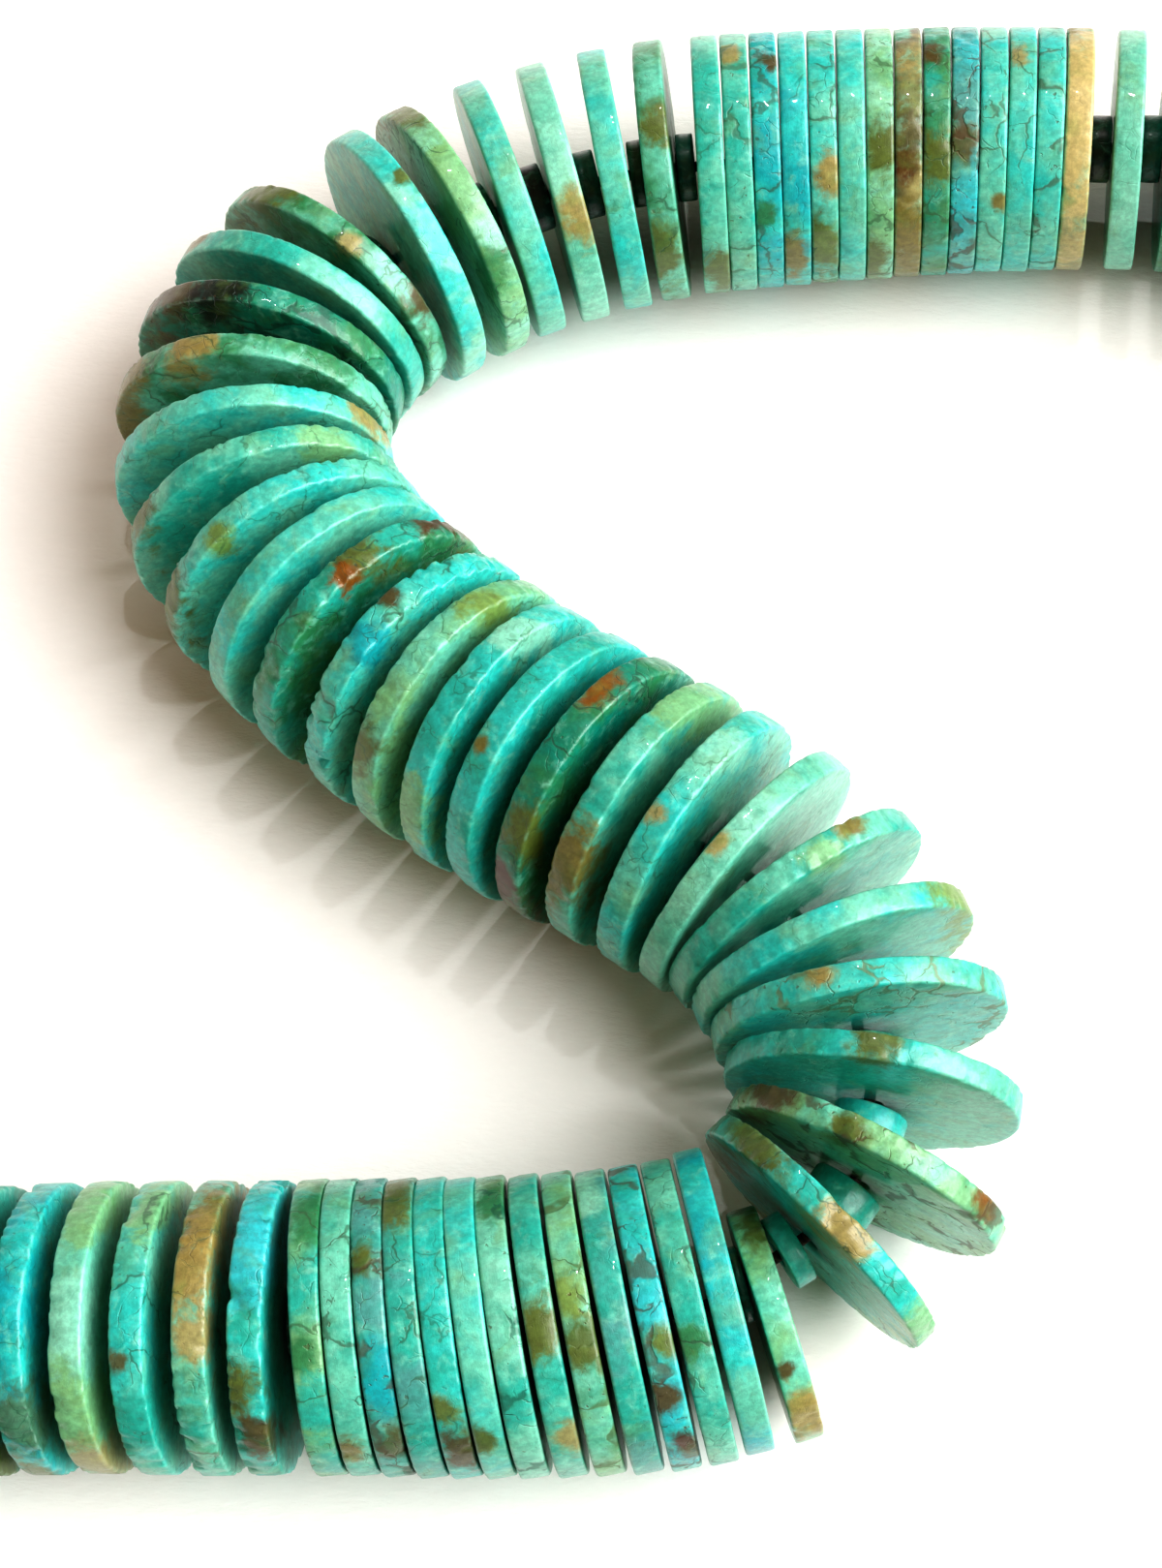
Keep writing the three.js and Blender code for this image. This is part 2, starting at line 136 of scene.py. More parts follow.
# A row for each visible disc, in order along the thread. matrix and veins: the colour and amount (0 to 1)
# of the dark lines. wear: how nibbled the rim is. patches: colour, place along the part of the rim that
# shows from the front (0 at its far or left end, 1 at its near or right end), and half its length.
LOOKS = [
    ("teal", "aqua", "brown", 0.4, 0.5, [("olive", 0.9, 0.15)]),
    ("cyan", "blue", "brown", 0.4, 0.7, [("grey_green", 0.74, 0.16), ("olive", 0.97, 0.08)]),
    ("mint", "pale_mint", "olive", 0.2, 0.5,
     [("pale_green", 0.06, 0.12), ("pale_green", 0.74, 0.24), ("tan", 0.92, 0.12)]),
    ("mint", "cyan", "brown", 0.5, 0.6,
     [("pale_green", 0.06, 0.09), ("grey_brown", 0.52, 0.05), ("aqua", 0.75, 0.15)]),
    ("aqua", "mint", "gold", 0.5, 0.9, [("ochre", 0.1, 0.12), ("gold", 0.24, 0.17), ("tan", 0.45, 0.1)]),
    ("aqua", "cyan", "red_brown", 0.4, 1.0,
     [("sky", 0.18, 0.18), ("olive", 0.62, 0.1), ("brown", 0.8, 0.1)]),
    ("pale_green", "aqua", "olive", 0.6, 0.2,
     [("green", 0.08, 0.1), ("green", 0.5, 0.08), ("aqua", 0.68, 0.12)]),
    ("mint", "aqua", "brown", 0.6, 0.2, [("ochre", 0.84, 0.06)]),
    ("grey_blue", "aqua", "red_brown", 0.9, 0.4,
     [("blue", 0.58, 0.13), ("olive", 0.2, 0.06), ("grey_brown", 0.82, 0.07)]),
    ("aqua", "grey_blue", "olive", 0.5, 0.2, [("olive", 0.05, 0.09)]),
    ("cyan", "aqua", "olive", 0.4, 0.3, [("brown", 0.84, 0.1), ("olive", 0.68, 0.06)]),
    ("mint", "cyan", "olive", 0.2, 0.1, [("olive", 0.8, 0.06)]),
    ("pale_mint", "mint", "deep_teal", 0.7, 0.2, [("green", 0.05, 0.07), ("aqua", 0.65, 0.12)]),
    ("mint", "aqua", "olive", 0.3, 0.3, [("olive", 0.42, 0.13), ("tan", 0.8, 0.07)]),
    ("pale_green", "mint", "olive", 0.9, 0.2, [("olive", 0.47, 0.12), ("yellow_green", 0.32, 0.09)]),
    ("aqua", "grey_blue", "grey_green", 0.3, 0.1, [("pale_mint", 0.05, 0.07)]),
    ("sky", "cyan", "red_brown", 0.9, 0.3,
     [("olive", 0.5, 0.06), ("brown", 0.67, 0.07), ("red_brown", 0.86, 0.07)]),
    ("aqua", "mint", "red_brown", 0.5, 0.2, [("green", 0.5, 0.08)]),
    ("cyan", "blue", "teal", 0.2, 0.1, [("mint", 0.76, 0.14)]),
    ("pale_green", "mint", "brown", 0.3, 0.4,
     [("olive", 0.06, 0.09), ("brown", 0.6, 0.05), ("gold", 0.82, 0.17)]),
    ("aqua", "cyan", "brown", 0.5, 0.7,
     [("olive", 0.12, 0.13), ("gold", 0.47, 0.14), ("pale_green", 0.93, 0.12)]),
    ("mint", "pale_green", "red_brown", 0.9, 0.6,
     [("brown", 0.08, 0.09), ("olive", 0.32, 0.08), ("rust", 0.84, 0.06)]),
    ("cyan", "aqua", "ochre", 0.3, 0.4, [("olive", 0.43, 0.1), ("mint", 0.8, 0.22)]),
    ("mint", "cyan", "gold", 0.7, 0.3, [("gold", 0.36, 0.06)]),
    ("cyan", "mint", "olive", 0.2, 0.4, [("yellow_green", 0.97, 0.12)]),
    ("mint", "aqua", "brown", 0.3, 0.5, [("ochre", 0.8, 0.06), ("pale_green", 0.66, 0.08)]),
    ("mint", "pale_mint", "tan", 0.3, 0.3, [("tan", 0.5, 0.05)]),
    ("cyan", "mint", "ochre", 0.4, 0.4, [("tan", 0.5, 0.05), ("pale_mint", 0.8, 0.1)]),
    ("mint", "aqua", "ochre", 0.3, 0.4, [("ochre", 0.22, 0.17), ("pale_green", 0.88, 0.14)]),
    ("green", "teal", "red_brown", 0.5, 0.4,
     [("red_brown", 0.05, 0.09), ("olive", 0.24, 0.1), ("rust", 0.78, 0.08)]),
    ("cyan", "aqua", "ochre", 0.4, 0.3, [("ochre", 0.42, 0.04)]),
    ("aqua", "cyan", "olive", 0.4, 0.4, [("pale_green", 0.12, 0.12), ("pale_mint", 0.82, 0.1)]),
    ("mint", "pale_green", "olive", 0.4, 0.5, [("olive", 0.2, 0.09), ("yellow_green", 0.82, 0.08)]),
    ("cyan", "mint", "brown", 0.5, 1.0, [("brown", 0.65, 0.05), ("blue", 0.48, 0.09)]),
    ("green", "aqua", "red_brown", 0.5, 0.7,
     [("olive", 0.68, 0.12), ("rust", 0.6, 0.06), ("red_brown", 0.95, 0.08)]),
    ("mint", "cyan", "olive", 0.2, 0.3, []),
    ("cyan", "mint", "olive", 0.4, 0.7, [("olive", 0.08, 0.09), ("yellow_green", 0.34, 0.06)]),
    ("mint", "aqua", "brown", 0.4, 0.5, [("olive", 0.1, 0.08), ("pale_green", 0.8, 0.1)]),
    ("mint", "cyan", "ochre", 0.4, 0.4, [("gold", 0.94, 0.07)]),
    ("green", "mint", "ochre", 0.5, 0.4, [("gold", 0.3, 0.12), ("ochre", 0.05, 0.1)]),
    ("teal", "green", "black", 0.8, 0.3, [("brown", 0.12, 0.12), ("black", 0.3, 0.12)]),
    ("mint", "aqua", "olive", 0.3, 0.3, [("ochre", 0.05, 0.06)]),
    ("mint", "green", "brown", 0.5, 0.3,
     [("olive", 0.13, 0.12), ("tan", 0.5, 0.06), ("brown", 0.82, 0.08)]),
    ("pale_mint", "cyan", "olive", 0.3, 0.2, [("olive", 0.32, 0.04)]),
    ("pale_mint", "pale_green", "olive", 0.5, 0.3, [("olive", 0.06, 0.12), ("green", 0.75, 0.1)]),
    ("cyan", "mint", "olive", 0.2, 0.2, []),
    ("mint", "pale_mint", "tan", 0.2, 0.2, [("gold", 0.68, 0.12)]),
    ("cyan", "mint", "teal", 0.3, 0.2, []),
    ("green", "mint", "olive", 0.5, 0.2, [("olive", 0.42, 0.1), ("olive", 0.86, 0.12)]),
    ("aqua", "mint", "olive", 0.4, 0.2, [("olive", 0.95, 0.08)]),
    ("mint", "aqua", "grey_green", 0.8, 0.2, [("gold", 0.15, 0.06)]),
    ("blue", "cyan", "brown", 0.6, 0.4, [("brown", 0.2, 0.06), ("green", 0.8, 0.06)]),
    ("cyan", "blue", "brown", 0.4, 0.2, [("ochre", 0.93, 0.08)]),
    ("mint", "cyan", "brown", 0.6, 0.4, [("gold", 0.66, 0.09), ("olive", 0.9, 0.12)]),
    ("mint", "cyan", "olive", 0.3, 0.2, []),
    ("pale_mint", "pale_green", "olive", 0.6, 0.3, [("olive", 0.57, 0.13), ("olive", 0.96, 0.07)]),
    ("tan", "grey_brown", "red_brown", 0.3, 0.4,
     [("red_brown", 0.64, 0.08), ("ochre", 0.88, 0.14), ("mint", 0.05, 0.06)]),
    ("aqua", "green", "olive", 0.6, 0.3, [("olive", 0.62, 0.12), ("brown", 0.18, 0.06)]),
    ("grey_blue", "sky", "red_brown", 1.0, 0.4, [("grey_brown", 0.56, 0.1)]),
    ("mint", "cyan", "ochre", 0.5, 0.2, [("ochre", 0.8, 0.04)]),
    ("mint", "cyan", "ochre", 0.5, 0.2, [("tan", 0.2, 0.06)]),
    ("cyan", "mint", "brown", 0.8, 0.2, []),
    ("sand", "tan", "ochre", 0.2, 0.4, [("sand", 0.4, 0.3)]),
    ("mint", "pale_mint", "olive", 0.3, 0.2, []),
    ("teal", "green", "brown", 0.4, 0.3, []),
]
# The discs of the stretch that lies out of view repeat these plain looks.
PLAIN_LOOKS = [
    ("mint", "aqua", "olive", 0.4, 0.3, []),
    ("aqua", "teal", "brown", 0.4, 0.3, [("olive", 0.5, 0.12)]),
    ("cyan", "mint", "olive", 0.3, 0.3, []),
    ("green", "mint", "brown", 0.5, 0.4, [("ochre", 0.3, 0.12)]),
    ("teal", "aqua", "brown", 0.5, 0.3, []),
]
# Painted shade: the spacers between close discs are of the same turquoise, coloured dark teal and black for
# the shade they sit in.
SHADED_SPACER_LOOKS = [
    ("deep_teal", "teal", "black", 0.3, 0.1, []),
    ("deep_teal", "black", "black", 0.3, 0.1, []),
    ("teal", "deep_teal", "black", 0.3, 0.1, []),
    ("deep_teal", "green", "black", 0.4, 0.1, []),
]
# The spacers in the open bend at the right stand in the light and keep the stone's brighter colours. Each is
# named by the disc before it.
BRIGHT_SPACERS = {
    "disc_07": ("aqua", "cyan", "black", 0.2, 0.1, []),
    "disc_08": ("teal", "aqua", "black", 0.3, 0.1, []),
    "disc_09": ("sky", "cyan", "black", 0.1, 0.1, []),
}


# ---------------------------------------------------------------- node graphs


class Wire:
    """An output socket of a node. Arithmetic on it adds Math or Vector Math nodes."""

    def __init__(self, graph, socket):
        self.graph = graph
        self.socket = socket

    def out(self, name):
        return Wire(self.graph, self.socket.node.outputs[name])

    def is_vector(self):
        return self.socket.type in ("VECTOR", "RGBA")

    def _sum(self, operation, first, second):
        vectors = [isinstance(v, tuple) or isinstance(v, Wire) and v.is_vector() for v in (first, second)]
        if not any(vectors):
            return self.graph.add("ShaderNodeMath", {"operation": operation}, {0: first, 1: second})
        if operation == "MULTIPLY" and not all(vectors):
            vector, scale = (first, second) if vectors[0] else (second, first)
            return self.graph.add(
                "ShaderNodeVectorMath", {"operation": "SCALE"}, {0: vector, "Scale": scale}
            )
        return self.graph.add("ShaderNodeVectorMath", {"operation": operation}, {0: first, 1: second})

    def __add__(self, other):
        return self._sum("ADD", self, other)

    def __radd__(self, other):
        return self._sum("ADD", other, self)

    def __sub__(self, other):
        return self._sum("SUBTRACT", self, other)

    def __rsub__(self, other):
        return self._sum("SUBTRACT", other, self)

    def __mul__(self, other):
        return self._sum("MULTIPLY", self, other)

    def __rmul__(self, other):
        return self._sum("MULTIPLY", other, self)

    def __truediv__(self, other):
        return self._sum("DIVIDE", self, other)


class Graph:
    """A node tree that is being written."""

    def __init__(self, tree):
        self.tree = tree

    def add(self, kind, settings=None, sockets=None, output=0):
        """A node of this kind: its settings first, then values or links for its sockets."""
        node = self.tree.nodes.new(kind)
        for name, value in (settings or {}).items():
            setattr(node, name, value)
        for name, value in (sockets or {}).items():
            if isinstance(value, Wire):
                self.tree.links.new(value.socket, node.inputs[name])
            else:
                node.inputs[name].default_value = value
        return Wire(self, node.outputs[output]) if node.outputs else None

    def step(self, value, low, high):
        """0 below low, 1 above high, and smooth between them."""
        return self.add(
            "ShaderNodeMapRange",
            {"interpolation_type": "SMOOTHSTEP"},
            {"Value": value, "From Min": low, "From Max": high},
        )

    def noise(self, place, scale, detail=2.0, roughness=0.5):
        return self.add(
            "ShaderNodeTexNoise",
            {},
            {"Vector": place, "Scale": scale, "Detail": detail, "Roughness": roughness},
        )

    def cracks(self, place, scale):
        """The distance to the nearest wall between irregular cells."""
        return self.add(
            "ShaderNodeTexVoronoi",
            {"feature": "DISTANCE_TO_EDGE"},
            {"Vector": place, "Scale": scale, "Randomness": 1.0},
        )

    def blend(self, share, first, second, mode="MIX"):
        return self.add(
            "ShaderNodeMix",
            {"data_type": "RGBA", "blend_type": mode},
            {0: share, 6: first, 7: second},
            output=2,
        )

    def larger(self, first, second):
        return self.add("ShaderNodeMath", {"operation": "MAXIMUM"}, {0: first, 1: second})


def linear(colour):
    """A colour as it looks, as the light it reflects."""
    return [c / 12.92 if c <= 0.04045 else ((c + 0.055) / 1.055) ** 2.4 for c in colour]


def rgba(colour):
    return (*linear(colour), 1.0)


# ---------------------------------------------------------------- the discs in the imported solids

def flats_of(mesh):
    """The large flats of a solid: outward normal, distance from the origin, and corner points of each."""
    points = np.array([v.co for v in mesh.vertices])
    corners = points[np.array([list(p.vertices) for p in mesh.polygons])]
    cross = np.cross(corners[:, 1] - corners[:, 0], corners[:, 2] - corners[:, 0])
    area = np.linalg.norm(cross, axis=1) / 2
    flats = []
    for i in np.argsort(-area):
        if area[i] < SLIVER_AREA:
            break
        normal = cross[i] / (2 * area[i])
        offset = float(normal @ corners[i].mean(axis=0))
        for flat in flats:
            if normal @ flat["normal"] > PARALLEL and abs(offset - flat["offset"]) < SAME_PLANE:
                flat["area"] += area[i]
                flat["points"].append(corners[i])
                break
        else:
            flats.append({"normal": normal, "offset": offset, "area": area[i], "points": [corners[i]]})
    large = [flat for flat in flats if flat["area"] > FACE_AREA]
    for flat in large:
        flat["points"] = np.concatenate(flat["points"])
    return large


def discs_of(node):
    """Each disc in a node: centre, axis, radius, half thickness and the middle of its thread hole."""
    flats = flats_of(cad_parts[node].data)
    discs = []
    for i, front in enumerate(flats):
        for back in flats[i + 1 :]:
            thickness = front["offset"] + back["offset"]
            if front["normal"] @ back["normal"] > -PARALLEL or not THINNEST < thickness < THICKEST:
                continue
            axis = front["normal"]
            side = np.cross((0, 0, 1), axis)
            side /= np.linalg.norm(side)
            top = np.cross(axis, side)
            points = np.concatenate([front["points"], back["points"]])
            spans = [((points @ d).min(), (points @ d).max()) for d in (side, top)]
            middle = sum(d * (low + high) / 2 for d, (low, high) in zip((side, top), spans))
            centre = middle + axis * (front["offset"] - back["offset"]) / 2
            radius = (spans[0][1] - spans[0][0]) / 2
            across = points - centre
            across -= np.outer(across @ axis, axis)
            inner = across[np.linalg.norm(across, axis=1) < INSIDE_RIM * radius]
            hole = inner.mean(axis=0) if node.startswith("disc") and len(inner) else np.zeros(3)
            discs.append(
                {
                    "centre": centre,
                    "axis": axis,
                    "radius": radius,
                    "half": thickness / 2,
                    "hole": centre + hole,
                }
            )
    return discs


def whole_string():
    """All the discs in order along the thread, each with its node and its axis pointing onwards."""
    beads = []
    for node in STRING:
        waiting = [dict(disc, node=node) for disc in discs_of(node)]
        while waiting:
            if beads:
                waiting.sort(key=lambda disc: np.linalg.norm(disc["centre"] - beads[-1]["centre"]))
            beads.append(waiting.pop(0))
    for bead, following in zip(beads, beads[1:] + beads[:1]):
        if bead["axis"] @ (following["centre"] - bead["centre"]) < 0:
            bead["axis"] = -bead["axis"]
        side = np.cross((0, 0, 1), bead["axis"])
        bead["side"] = side / np.linalg.norm(side)
        bead["top"] = np.cross(bead["axis"], bead["side"])
    for number, bead in enumerate(beads):
        seen = number < len(LOOKS)
        bead["look"] = LOOKS[number] if seen else PLAIN_LOOKS[number % len(PLAIN_LOOKS)]
        bead["number"] = number
    return beads


def spacers_between(beads):
    """A small tube bead in each gap on the thread, apart from the gaps in a stack and at the clasp."""
    spacers = []
    for bead, following in zip(beads, beads[1:] + beads[:1]):
        same_stack = bead["node"] == following["node"] and bead["node"] in STACKS
        if same_stack or (bead["node"], following["node"]) == (HIDDEN[4], HIDDEN[5]):
            continue
        axis = bead["axis"] + following["axis"]
        axis /= np.linalg.norm(axis)
        bend = math.acos(min(1.0, bead["axis"] @ following["axis"]))
        fan = 2 * SPACER_RADIUS * math.tan(bend / 2)
        room = (following["hole"] - bead["hole"]) @ axis - bead["half"] - following["half"]
        side = np.cross((0, 0, 1), axis)
        side /= np.linalg.norm(side)
        number = len(spacers)
        spacers.append(
            {
                "centre": (bead["hole"] + following["hole"]) / 2,
                "axis": axis,
                "side": side,
                "top": np.cross(axis, side),
                "radius": SPACER_RADIUS,
                "half": (room - fan) / 2 - SPACER_CLEARANCE,
                # Spacers outside the open bend take the dark looks of painted shade.
                "look": BRIGHT_SPACERS.get(bead["node"], SHADED_SPACER_LOOKS[number % len(SHADED_SPACER_LOOKS)]),
                "number": number,
                "node": bead["node"],
            }
        )
    return spacers


BEADS = whole_string()
SPACERS = spacers_between(BEADS)


# ---------------------------------------------------------------- meshes


def turned(name, profile, segments):
    """A ring turned round Z from a closed profile of (distance from the axis, height) points."""
    rows = len(profile)
    turns = np.arange(segments) * 2 * math.pi / segments
    r, z = np.array(profile).T
    points = np.stack(
        [np.outer(np.cos(turns), r), np.outer(np.sin(turns), r), np.tile(z, (segments, 1))], axis=-1
    ).reshape(-1, 3)
    faces = []
    for i in range(segments):
        for j in range(rows):
            a, b = i * rows + j, i * rows + (j + 1) % rows
            c, d = (i + 1) % segments * rows + (j + 1) % rows, (i + 1) % segments * rows + j
            faces.append((a, d, c, b))
    mesh = bpy.data.meshes.new(name)
    mesh.from_pydata(points.tolist(), [], faces)
    mesh.attributes.new("local", "FLOAT_VECTOR", "POINT").data.foreach_set("vector", points.ravel())
    thing = bpy.data.objects.new(name, mesh)
    bpy.context.scene.collection.objects.link(thing)
    return thing


def ring_profile(hole, edge, height_edge, face_rings, corner_steps, rim_steps):
    """The half of a flat ring's section from its hole to its rim, then back: radius and half height are 1."""
    upper = [(hole, 0.85), (hole * 1.2, 1.0)] + [(r, 1.0) for r in face_rings]
    for i in range(corner_steps + 1):
        angle = i / corner_steps * math.pi / 2
        upper.append((1 - edge * (1 - math.sin(angle)), 1 - height_edge * (1 - math.cos(angle))))
    flat = 1 - height_edge
    rim = [(1.0, flat * (1 - 2 * i / rim_steps)) for i in range(1, rim_steps)]
    lower = [(r, -z) for r, z in reversed(upper)]
    return (upper + rim + lower)[::-1]


def string_object(name, beads):
    """One point for each bead, with what the node tree needs to know of it."""
    mesh = bpy.data.meshes.new(name)
    mesh.from_pydata([bead["centre"] for bead in beads], [], [])
    columns = {
        "axis": [bead["axis"] for bead in beads],
        "side": [bead["side"] for bead in beads],
        "top": [bead["top"] for bead in beads],
        "size": [(bead["radius"], bead["radius"], bead["half"]) for bead in beads],
        "shift": [hole_shift(bead) for bead in beads],
        "cut": [stone_offset(bead) for bead in beads],
    }
    for key, values in columns.items():
        mesh.attributes.new(key, "FLOAT_VECTOR", "POINT").data.foreach_set("vector", np.ravel(values))
    mesh.attributes.new("wear", "FLOAT", "POINT").data.foreach_set(
        "value", [bead["look"][4] for bead in beads]
    )
    mesh.attributes.new("bead", "INT", "POINT").data.foreach_set("value", range(len(beads)))
    thing = bpy.data.objects.new(name, mesh)
    bpy.context.scene.collection.objects.link(thing)
    return thing


def hole_shift(bead):
    return bead["hole"] - bead["centre"] if "hole" in bead else np.zeros(3)


def stone_offset(bead):
    """Where in the rough stone this bead is cut from, in millimetres, so that no two show the same grain."""
    number = bead["number"] + 1
    return np.array([37.3 * number, 19.7 * (number % 13), 53.1 * (number % 7)])


def bead_tree():
    """Sets a blank on each point of a string, then makes its rim uneven, nibbled and chipped."""
    tree = bpy.data.node_groups.new("string of beads", "GeometryNodeTree")
    sockets = [
        ("Geometry", "NodeSocketGeometry"),
        ("Blank", "NodeSocketObject"),
        ("Unevenness", "NodeSocketFloat"),
        ("Nibble Depth", "NodeSocketFloat"),
        ("Chip Depth", "NodeSocketFloat"),
        ("Face Unevenness", "NodeSocketFloat"),
        ("Material", "NodeSocketMaterial"),
    ]
    for name, kind in sockets:
        tree.interface.new_socket(name=name, in_out="INPUT", socket_type=kind)
    tree.interface.new_socket(name="Geometry", in_out="OUTPUT", socket_type="NodeSocketGeometry")
    graph = Graph(tree)
    given = graph.add("NodeGroupInput")

    def attribute(name, kind="FLOAT_VECTOR"):
        return graph.add("GeometryNodeInputNamedAttribute", {"data_type": kind}, {"Name": name})

    axis, side, top, size = (attribute(name) for name in ("axis", "side", "top", "size"))
    rotation = graph.add(
        "FunctionNodeAxesToRotation", {"primary_axis": "Z", "secondary_axis": "X"}, {0: axis, 1: side}
    )
    blank = graph.add("GeometryNodeObjectInfo", {}, {"Object": given.out("Blank")}).out("Geometry")
    placed = graph.add(
        "GeometryNodeInstanceOnPoints",
        {},
        {"Points": given.out("Geometry"), "Instance": blank, "Rotation": rotation, "Scale": size},
    )
    real = graph.add("GeometryNodeRealizeInstances", {}, {0: placed})

    local = attribute("local")
    x, y, z = (graph.add("ShaderNodeSeparateXYZ", {}, {0: local}, output=i) for i in range(3))
    reach = graph.add("ShaderNodeVectorMath", {"operation": "LENGTH"}, {0: local * (1, 1, 0)}, output=1)
    spoke = graph.add("ShaderNodeVectorMath", {"operation": "NORMALIZE"}, {0: side * x + top * y})
    grain = local * size * (1000, 1000, 1000) + attribute("cut")
    near_rim = graph.step(reach, 0.8, 0.97)
    wear = attribute("wear", "FLOAT")
    outline = (graph.noise(grain, 0.16, 1.0) - 0.5) * given.out("Unevenness") * 2.0
    turn = graph.add("ShaderNodeMath", {"operation": "ARCTAN2"}, {0: y, 1: x})
    ripple = turn * NIBBLES / 2 + graph.noise(grain, 0.3, 1.0) * 14.0
    tooth = graph.add("ShaderNodeMath", {"operation": "SINE"}, {0: ripple})
    tooth = 1.0 - graph.add("ShaderNodeMath", {"operation": "ABSOLUTE"}, {0: tooth})
    gnawed = graph.step(graph.noise(grain + (4, 4, 4), 0.28, 1.0), 0.3, 0.6) * graph.step(z * z, 0.05, 0.6)
    bites = tooth * gnawed * given.out("Nibble Depth") * wear
    chips = graph.step(graph.noise(grain + (5, 0, 9), 0.33, 2.0), 0.6, 0.72) * given.out("Chip Depth") * wear
    inward = outline + (bites + chips) * near_rim
    swell = (graph.noise(grain + (0, 7, 3), 0.14, 1.0) - 0.5) * given.out("Face Unevenness") * 2.0
    flatten = (swell + chips * near_rim * 0.5) * z
    hole_side = 1.0 - graph.step(reach, 0.1, 1.0)
    offset = spoke * (inward * reach * -1.0) + axis * (flatten * -1.0) + attribute("shift") * hole_side
    moved = graph.add("GeometryNodeSetPosition", {}, {"Geometry": real, "Offset": offset})
    smooth = graph.add("GeometryNodeSetShadeSmooth", {}, {"Geometry": moved})
    finished = graph.add(
        "GeometryNodeSetMaterial", {}, {"Geometry": smooth, "Material": given.out("Material")}
    )
    graph.add("NodeGroupOutput", {}, {0: finished})
    return tree


def grow(thing, tree, values):
    """Runs the tree on the object, then keeps the result as its plain mesh."""
    modifier = thing.modifiers.new("nodes", "NODES")
    modifier.node_group = tree
    for socket in tree.interface.items_tree:
        if socket.in_out == "INPUT" and socket.name in values:
            modifier[socket.identifier] = values[socket.name]
    bpy.context.view_layer.update()
    evaluated = thing.evaluated_get(bpy.context.evaluated_depsgraph_get())
    mesh = bpy.data.meshes.new_from_object(evaluated)
    thing.modifiers.remove(modifier)
    thing.data = mesh
    return mesh


def values_of(mesh, name, width):
    data = mesh.attributes[name].data
    values = np.zeros(len(data) * width, np.float32 if width > 1 else np.int32)
    data.foreach_get("vector" if width > 1 else "value", values)
    return values.reshape(-1, width) if width > 1 else values


def paint(mesh, beads):
    """Gives each point its place in the stone and its bead's colours and patches."""
    bead = values_of(mesh, "bead", 1)
    local = values_of(mesh, "local", 3)
    size = values_of(mesh, "size", 3)
    cut = values_of(mesh, "cut", 3)
    grain = local * size / MM + cut
    mesh.attributes.new("grain", "FLOAT_VECTOR", "POINT").data.foreach_set("vector", grain.ravel())
    place = rim_place(beads, bead, local)
    depth = (1 - np.hypot(local[:, 0], local[:, 1])) * size[:, 0] / 2
    height = local[:, 2] * size[:, 2]

    def colours(name, picked):
        table = np.array([rgba(STONE[colour]) for colour in picked], np.float32)
        target = mesh.attributes.new(name, "FLOAT_COLOR", "POINT")
        target.data.foreach_set("color", table[bead].ravel())

    looks = [b["look"] for b in beads]
    colours("tone", [look[0] for look in looks])
    colours("second_tone", [look[1] for look in looks])
    colours("matrix_tone", [look[2] for look in looks])
    veins = np.array([look[3] for look in looks], np.float32)
    mesh.attributes.new("veins", "FLOAT", "POINT").data.foreach_set("value", veins[bead])
    for n in range(MOST_PATCHES):
        patches = [look[5][n] if n < len(look[5]) else NO_PATCH for look in looks]
        colours(f"patch_{n + 1}_tone", [patch[0] for patch in patches])
        middle = np.array([patch[1] for patch in patches])[bead]
        half = np.array([patch[2] for patch in patches])[bead]
        along = (place - middle) * 2 * size[:, 0]
        edge = np.where((bead + n) % 2 == 0, 0.5, -0.5) * size[:, 2]
        field = 1 - np.sqrt(along**2 + (height - edge) ** 2 + depth**2) / (half * 2 * size[:, 0])
        mesh.attributes.new(f"patch_{n + 1}", "FLOAT", "POINT").data.foreach_set(
            "value", np.maximum(field, -4).astype(np.float32)
        )
    # How far each point lies in from the rim and from a face, for the paler edges: wear and a painted
    # highlight on the bevels.
    below = np.abs(np.abs(height) - size[:, 2])
    rim = np.stack([depth * 2, below, np.zeros(len(bead))], axis=-1) / MM
    mesh.attributes.new("rim", "FLOAT_VECTOR", "POINT").data.foreach_set("vector", rim.ravel())
    for name in ("axis", "side", "top", "size", "shift", "cut", "wear", "local", "bead"):
        mesh.attributes.remove(mesh.attributes[name])


def rim_place(beads, bead, local):
    """How far along the part of the rim that shows from the front each point is, 0 to 1."""
    middles = []
    for b in beads:
        towards_front = b["side"][1] * -math.cos(FRONT_RISE)
        middles.append(math.atan2(math.sin(FRONT_RISE), towards_front) - math.pi / 2)
    start = np.array(middles)[bead]
    along = local[:, 0] * np.cos(start) + local[:, 1] * np.sin(start)
    return (1 - along) / 2


# ---------------------------------------------------------------- materials


def new_material(name):
    material = bpy.data.materials.new(name)
    material.use_nodes = True
    material.node_tree.nodes.clear()
    return material, Graph(material.node_tree)


def finish_material(graph, shader):
    graph.add("ShaderNodeOutputMaterial", {}, {"Surface": shader})


def bump(graph, height, depth, normal=None):
    sockets = {"Height": height, "Strength": 1.0, "Distance": depth}
    if normal is not None:
        sockets["Normal"] = normal
    return graph.add("ShaderNodeBump", {}, sockets)


